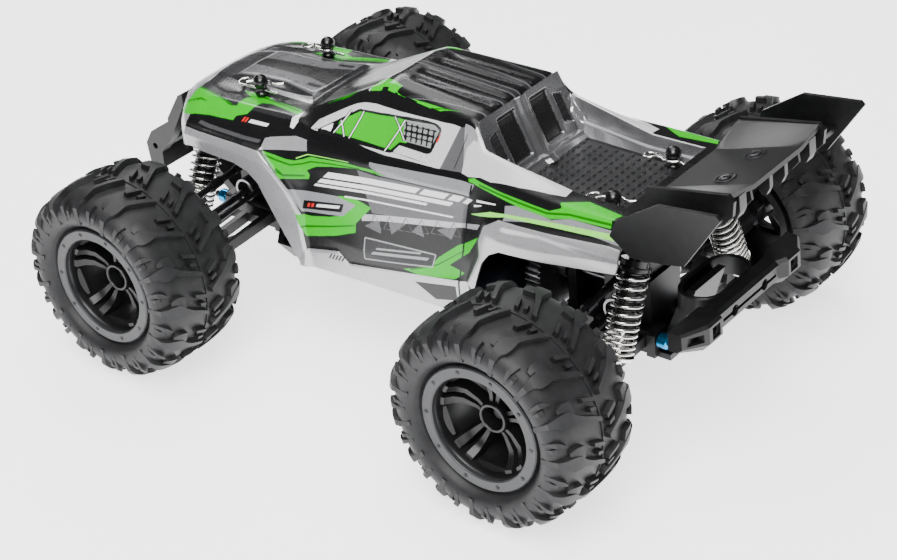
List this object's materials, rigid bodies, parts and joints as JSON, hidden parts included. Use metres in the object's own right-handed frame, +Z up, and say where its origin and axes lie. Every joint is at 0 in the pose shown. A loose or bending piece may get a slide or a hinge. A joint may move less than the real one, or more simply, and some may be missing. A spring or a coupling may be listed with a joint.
{
  "type": "radio-controlled monster truck",
  "caption": "Radio-controlled four-wheel-drive off-road truck with big lugged tyres, coil-over suspension, open-bed body, rear wing and bumpers.",
  "frame": {"origin": "on the ground, under the centre of the bounding box", "axes": "+X forward, +Y to the truck's left, +Z up"},
  "size_m": [0.316, 0.225, 0.1243],
  "materials": {
    "tyre": "moulded rubber, satin",
    "wheel_rim": "satin black, dark grey bead-lock ring",
    "lower_arm": "moulded black nylon",
    "camber_link": "dark steel turnbuckle",
    "drive_shaft": "dark steel",
    "shock_body": "gloss black",
    "shock_rod": "polished rod, black lower cup",
    "shock_spring": "bright plated wire",
    "caster_block": "moulded black nylon",
    "steering_knuckle": "moulded black nylon",
    "rear_hub_carrier": "moulded black nylon",
    "tie_rod": "dark steel",
    "chassis_tub": "moulded black nylon",
    "body_shell": "gloss printed shell in black, grey, silver and lime green",
    "rear_wing": "matte black",
    "pins_and_screws": "blackened steel, blue anodised collars",
    "gearbox_housings": "moulded black nylon",
    "shock_towers": "moulded black nylon",
    "front_bumper": "moulded black nylon",
    "rear_bumper": "moulded black nylon",
    "drive_motor": "plated steel can",
    "battery_pack": "blue shrink sleeve",
    "control_unit": "black case",
    "steering_servo": "black case",
    "body_clips": "bright spring wire",
    "power_switch": "red thumb piece",
    "steering_rack": "moulded black nylon",
    "servo_horn": "white nylon",
    "differential_front": "sintered steel",
    "differential_rear": "sintered steel",
    "centre_shaft": "machined",
    "motor_pinion": "machined"
  },
  "bodies": {
    "chassis": {"chassis_tub": "chassis_tub", "body_shell": "body_shell", "rear_wing": "rear_wing", "pins_and_screws": "pins_and_screws", "gearbox_housings": "gearbox_housings", "shock_towers": "shock_towers", "front_bumper": "front_bumper", "rear_bumper": "rear_bumper", "drive_motor": "drive_motor", "battery_pack": "battery_pack", "control_unit": "control_unit", "steering_servo": "steering_servo"},
    "body_clips": {"body_clips": "body_clips"},
    "power_switch": {"power_switch": "power_switch"},
    "steering_rack": {"steering_rack": "steering_rack"},
    "servo_horn": {"servo_horn": "servo_horn"},
    "differential_front": {"differential_front": "differential_front"},
    "differential_rear": {"differential_rear": "differential_rear"},
    "centre_shaft": {"centre_shaft": "centre_shaft"},
    "motor_pinion": {"motor_pinion": "motor_pinion"},
    "lower_arm_fl": {"lower_arm_fl": "lower_arm"},
    "camber_link_fl": {"camber_link_fl": "camber_link"},
    "drive_shaft_fl": {"drive_shaft_fl": "drive_shaft"},
    "wheel_fl": {"tyre_fl": "tyre", "wheel_rim_fl": "wheel_rim"},
    "shock_body_fl": {"shock_body_fl": "shock_body", "shock_spring_fl": "shock_spring"},
    "shock_rod_fl": {"shock_rod_fl": "shock_rod"},
    "caster_block_fl": {"caster_block_fl": "caster_block"},
    "steering_knuckle_fl": {"steering_knuckle_fl": "steering_knuckle"},
    "tie_rod_fl": {"tie_rod_fl": "tie_rod"},
    "lower_arm_fr": {"lower_arm_fr": "lower_arm"},
    "camber_link_fr": {"camber_link_fr": "camber_link"},
    "drive_shaft_fr": {"drive_shaft_fr": "drive_shaft"},
    "wheel_fr": {"tyre_fr": "tyre", "wheel_rim_fr": "wheel_rim"},
    "shock_body_fr": {"shock_body_fr": "shock_body", "shock_spring_fr": "shock_spring"},
    "shock_rod_fr": {"shock_rod_fr": "shock_rod"},
    "caster_block_fr": {"caster_block_fr": "caster_block"},
    "steering_knuckle_fr": {"steering_knuckle_fr": "steering_knuckle"},
    "tie_rod_fr": {"tie_rod_fr": "tie_rod"},
    "lower_arm_rl": {"lower_arm_rl": "lower_arm"},
    "camber_link_rl": {"camber_link_rl": "camber_link"},
    "drive_shaft_rl": {"drive_shaft_rl": "drive_shaft"},
    "wheel_rl": {"tyre_rl": "tyre", "wheel_rim_rl": "wheel_rim"},
    "shock_body_rl": {"shock_body_rl": "shock_body", "shock_spring_rl": "shock_spring"},
    "shock_rod_rl": {"shock_rod_rl": "shock_rod"},
    "rear_hub_carrier_rl": {"rear_hub_carrier_rl": "rear_hub_carrier"},
    "lower_arm_rr": {"lower_arm_rr": "lower_arm"},
    "camber_link_rr": {"camber_link_rr": "camber_link"},
    "drive_shaft_rr": {"drive_shaft_rr": "drive_shaft"},
    "wheel_rr": {"tyre_rr": "tyre", "wheel_rim_rr": "wheel_rim"},
    "shock_body_rr": {"shock_body_rr": "shock_body", "shock_spring_rr": "shock_spring"},
    "shock_rod_rr": {"shock_rod_rr": "shock_rod"},
    "rear_hub_carrier_rr": {"rear_hub_carrier_rr": "rear_hub_carrier"}
  },
  "joints": [
    {"name": "arm_pivot_fl", "type": "hinge", "parent": "chassis", "child": "lower_arm_fl", "pos_m": [0.106, 0.014, 0.037], "axis": [1, 0, 0], "range_deg": [-10, 12], "stiffness_Nm_per_rad": 0.8, "springref_deg": -4.13},
    {"name": "camber_link_pivot_fl", "type": "hinge", "parent": "chassis", "child": "camber_link_fl", "pos_m": [0.106, 0.014, 0.061], "axis": [1, 0, 0], "range_deg": [-10.5, 12.5]},
    {"name": "carrier_pivot_fl", "type": "hinge", "parent": "lower_arm_fl", "child": "caster_block_fl", "pos_m": [0.106, 0.06, 0.033], "axis": [1, 0, 0], "range_deg": [-12.5, 10.5]},
    {"name": "kingpin_fl", "type": "hinge", "parent": "caster_block_fl", "child": "steering_knuckle_fl", "pos_m": [0.106, 0.063, 0.044], "axis": [0, 0, 1], "range_deg": [-25, 25]},
    {"name": "tie_rod_pivot_fl", "type": "hinge", "parent": "steering_rack", "child": "tie_rod_fl", "pos_m": [0.092, 0.017, 0.055], "axis": [1, 0, 0], "range_deg": [-10.5, 12.5]},
    {"name": "wheel_spin_fl", "type": "hinge", "parent": "steering_knuckle_fl", "child": "wheel_fl", "pos_m": [0.106, 0.09, 0.044], "axis": [0, 1, 0], "continuous": true},
    {"name": "drive_shaft_spin_fl", "type": "hinge", "parent": "lower_arm_fl", "child": "drive_shaft_fl", "pos_m": [0.106, 0.017, 0.048], "axis": [0, 0.9962, -0.0866], "continuous": true},
    {"name": "shock_pivot_fl", "type": "hinge", "parent": "chassis", "child": "shock_body_fl", "pos_m": [0.1152, 0.0235, 0.084], "axis": [1, 0, 0], "range_deg": [-2.25, 2.64]},
    {"name": "shock_travel_fl", "type": "slide", "parent": "shock_body_fl", "child": "shock_rod_fl", "axis": [0, 0.4239, -0.9057], "range_m": [-0.00616, 0.00517], "deforming": ["shock_spring_fl"]},
    {"name": "arm_pivot_fr", "type": "hinge", "parent": "chassis", "child": "lower_arm_fr", "pos_m": [0.106, -0.014, 0.037], "axis": [-1, 0, 0], "range_deg": [-10, 12], "stiffness_Nm_per_rad": 0.8, "springref_deg": -4.13},
    {"name": "camber_link_pivot_fr", "type": "hinge", "parent": "chassis", "child": "camber_link_fr", "pos_m": [0.106, -0.014, 0.061], "axis": [-1, 0, 0], "range_deg": [-10.5, 12.5]},
    {"name": "carrier_pivot_fr", "type": "hinge", "parent": "lower_arm_fr", "child": "caster_block_fr", "pos_m": [0.106, -0.06, 0.033], "axis": [-1, 0, 0], "range_deg": [-12.5, 10.5]},
    {"name": "kingpin_fr", "type": "hinge", "parent": "caster_block_fr", "child": "steering_knuckle_fr", "pos_m": [0.106, -0.063, 0.044], "axis": [0, 0, 1], "range_deg": [-26, 26]},
    {"name": "tie_rod_pivot_fr", "type": "hinge", "parent": "steering_rack", "child": "tie_rod_fr", "pos_m": [0.092, -0.017, 0.055], "axis": [-1, 0, 0], "range_deg": [-10.5, 12.5]},
    {"name": "wheel_spin_fr", "type": "hinge", "parent": "steering_knuckle_fr", "child": "wheel_fr", "pos_m": [0.106, -0.09, 0.044], "axis": [0, 1, 0], "continuous": true},
    {"name": "drive_shaft_spin_fr", "type": "hinge", "parent": "lower_arm_fr", "child": "drive_shaft_fr", "pos_m": [0.106, -0.017, 0.048], "axis": [0, 0.9962, 0.0866], "continuous": true},
    {"name": "shock_pivot_fr", "type": "hinge", "parent": "chassis", "child": "shock_body_fr", "pos_m": [0.1152, -0.0235, 0.084], "axis": [-1, 0, 0], "range_deg": [-2.25, 2.64]},
    {"name": "shock_travel_fr", "type": "slide", "parent": "shock_body_fr", "child": "shock_rod_fr", "axis": [0, -0.4239, -0.9057], "range_m": [-0.00616, 0.00517], "deforming": ["shock_spring_fr"]},
    {"name": "arm_pivot_rl", "type": "hinge", "parent": "chassis", "child": "lower_arm_rl", "pos_m": [-0.09, 0.014, 0.037], "axis": [1, 0, 0], "range_deg": [-10, 12], "stiffness_Nm_per_rad": 0.8, "springref_deg": -4.13},
    {"name": "camber_link_pivot_rl", "type": "hinge", "parent": "chassis", "child": "camber_link_rl", "pos_m": [-0.09, 0.014, 0.061], "axis": [1, 0, 0], "range_deg": [-10.5, 12.5]},
    {"name": "carrier_pivot_rl", "type": "hinge", "parent": "lower_arm_rl", "child": "rear_hub_carrier_rl", "pos_m": [-0.09, 0.06, 0.033], "axis": [1, 0, 0], "range_deg": [-12.5, 10.5]},
    {"name": "wheel_spin_rl", "type": "hinge", "parent": "rear_hub_carrier_rl", "child": "wheel_rl", "pos_m": [-0.09, 0.09, 0.044], "axis": [0, 1, 0], "continuous": true},
    {"name": "drive_shaft_spin_rl", "type": "hinge", "parent": "lower_arm_rl", "child": "drive_shaft_rl", "pos_m": [-0.09, 0.017, 0.048], "axis": [0, 0.9962, -0.0866], "continuous": true},
    {"name": "shock_pivot_rl", "type": "hinge", "parent": "chassis", "child": "shock_body_rl", "pos_m": [-0.106, 0.026, 0.084], "axis": [1, 0, 0], "range_deg": [-2.47, 2.91]},
    {"name": "shock_travel_rl", "type": "slide", "parent": "shock_body_rl", "child": "shock_rod_rl", "axis": [0, 0.3939, -0.9191], "range_m": [-0.00642, 0.00538], "deforming": ["shock_spring_rl"]},
    {"name": "arm_pivot_rr", "type": "hinge", "parent": "chassis", "child": "lower_arm_rr", "pos_m": [-0.09, -0.014, 0.037], "axis": [-1, 0, 0], "range_deg": [-10, 12], "stiffness_Nm_per_rad": 0.8, "springref_deg": -4.13},
    {"name": "camber_link_pivot_rr", "type": "hinge", "parent": "chassis", "child": "camber_link_rr", "pos_m": [-0.09, -0.014, 0.061], "axis": [-1, 0, 0], "range_deg": [-10.5, 12.5]},
    {"name": "carrier_pivot_rr", "type": "hinge", "parent": "lower_arm_rr", "child": "rear_hub_carrier_rr", "pos_m": [-0.09, -0.06, 0.033], "axis": [-1, 0, 0], "range_deg": [-12.5, 10.5]},
    {"name": "wheel_spin_rr", "type": "hinge", "parent": "rear_hub_carrier_rr", "child": "wheel_rr", "pos_m": [-0.09, -0.09, 0.044], "axis": [0, 1, 0], "continuous": true},
    {"name": "drive_shaft_spin_rr", "type": "hinge", "parent": "lower_arm_rr", "child": "drive_shaft_rr", "pos_m": [-0.09, -0.017, 0.048], "axis": [0, 0.9962, 0.0866], "continuous": true},
    {"name": "shock_pivot_rr", "type": "hinge", "parent": "chassis", "child": "shock_body_rr", "pos_m": [-0.106, -0.026, 0.084], "axis": [-1, 0, 0], "range_deg": [-2.47, 2.91]},
    {"name": "shock_travel_rr", "type": "slide", "parent": "shock_body_rr", "child": "shock_rod_rr", "axis": [0, -0.3939, -0.9191], "range_m": [-0.00642, 0.00538], "deforming": ["shock_spring_rr"]},
    {"name": "rack_slide", "type": "slide", "parent": "chassis", "child": "steering_rack", "axis": [0, 1, 0], "range_m": [-0.0063, 0.0063]},
    {"name": "servo_horn_pivot", "type": "hinge", "parent": "chassis", "child": "servo_horn", "pos_m": [0.078, 0.011, 0.058], "axis": [0, 0, 1], "range_deg": [-26, 26]},
    {"name": "differential_front_spin", "type": "hinge", "parent": "chassis", "child": "differential_front", "pos_m": [0.106, 0, 0.048], "axis": [0, 1, 0], "continuous": true},
    {"name": "differential_rear_spin", "type": "hinge", "parent": "chassis", "child": "differential_rear", "pos_m": [-0.09, 0, 0.048], "axis": [0, 1, 0], "continuous": true},
    {"name": "centre_shaft_spin", "type": "hinge", "parent": "chassis", "child": "centre_shaft", "pos_m": [0, 0, 0.048], "axis": [1, 0, 0], "continuous": true},
    {"name": "motor_spin", "type": "hinge", "parent": "chassis", "child": "motor_pinion", "pos_m": [-0.03, -0.02391, 0.04591], "axis": [1, 0, 0], "continuous": true},
    {"name": "power_switch_slide", "type": "slide", "parent": "chassis", "child": "power_switch", "axis": [1, 0, 0], "range_m": [0, 0.0032]},
    {"name": "body_clip_pull", "type": "slide", "parent": "chassis", "child": "body_clips", "axis": [1, 0, 0], "range_m": [0, 0.02]}
  ],
  "couplings": [
    {"joint": "camber_link_pivot_fl", "follows": "arm_pivot_fl", "ratio": 1},
    {"joint": "carrier_pivot_fl", "follows": "arm_pivot_fl", "ratio": -1},
    {"joint": "tie_rod_pivot_fl", "follows": "arm_pivot_fl", "ratio": 1},
    {"joint": "wheel_spin_fl", "follows": "wheel_spin_rl", "ratio": 1},
    {"joint": "drive_shaft_spin_fl", "follows": "wheel_spin_rl", "ratio": 1},
    {"joint": "shock_pivot_fl", "follows": "arm_pivot_fl", "ratio": 0.1953},
    {"joint": "shock_travel_fl", "follows": "arm_pivot_fl", "m_per_rad": -0.02848},
    {"joint": "camber_link_pivot_fr", "follows": "arm_pivot_fr", "ratio": 1},
    {"joint": "carrier_pivot_fr", "follows": "arm_pivot_fr", "ratio": -1},
    {"joint": "kingpin_fr", "follows": "kingpin_fl", "ratio": 1},
    {"joint": "tie_rod_pivot_fr", "follows": "arm_pivot_fr", "ratio": 1},
    {"joint": "wheel_spin_fr", "follows": "wheel_spin_rl", "ratio": 1},
    {"joint": "drive_shaft_spin_fr", "follows": "wheel_spin_rl", "ratio": 1},
    {"joint": "shock_pivot_fr", "follows": "arm_pivot_fr", "ratio": 0.1953},
    {"joint": "shock_travel_fr", "follows": "arm_pivot_fr", "m_per_rad": -0.02848},
    {"joint": "camber_link_pivot_rl", "follows": "arm_pivot_rl", "ratio": 1},
    {"joint": "carrier_pivot_rl", "follows": "arm_pivot_rl", "ratio": -1},
    {"joint": "drive_shaft_spin_rl", "follows": "wheel_spin_rl", "ratio": 1},
    {"joint": "shock_pivot_rl", "follows": "arm_pivot_rl", "ratio": 0.2174},
    {"joint": "shock_travel_rl", "follows": "arm_pivot_rl", "m_per_rad": -0.0297},
    {"joint": "camber_link_pivot_rr", "follows": "arm_pivot_rr", "ratio": 1},
    {"joint": "carrier_pivot_rr", "follows": "arm_pivot_rr", "ratio": -1},
    {"joint": "wheel_spin_rr", "follows": "wheel_spin_rl", "ratio": 1},
    {"joint": "drive_shaft_spin_rr", "follows": "wheel_spin_rl", "ratio": 1},
    {"joint": "shock_pivot_rr", "follows": "arm_pivot_rr", "ratio": 0.2174},
    {"joint": "shock_travel_rr", "follows": "arm_pivot_rr", "m_per_rad": -0.0297},
    {"joint": "rack_slide", "follows": "kingpin_fl", "m_per_rad": -0.014},
    {"joint": "servo_horn_pivot", "follows": "kingpin_fl", "ratio": -1},
    {"joint": "differential_front_spin", "follows": "wheel_spin_rl", "ratio": 1},
    {"joint": "differential_rear_spin", "follows": "wheel_spin_rl", "ratio": 1},
    {"joint": "centre_shaft_spin", "follows": "wheel_spin_rl", "ratio": 3},
    {"joint": "motor_spin", "follows": "wheel_spin_rl", "ratio": -9}
  ]
}
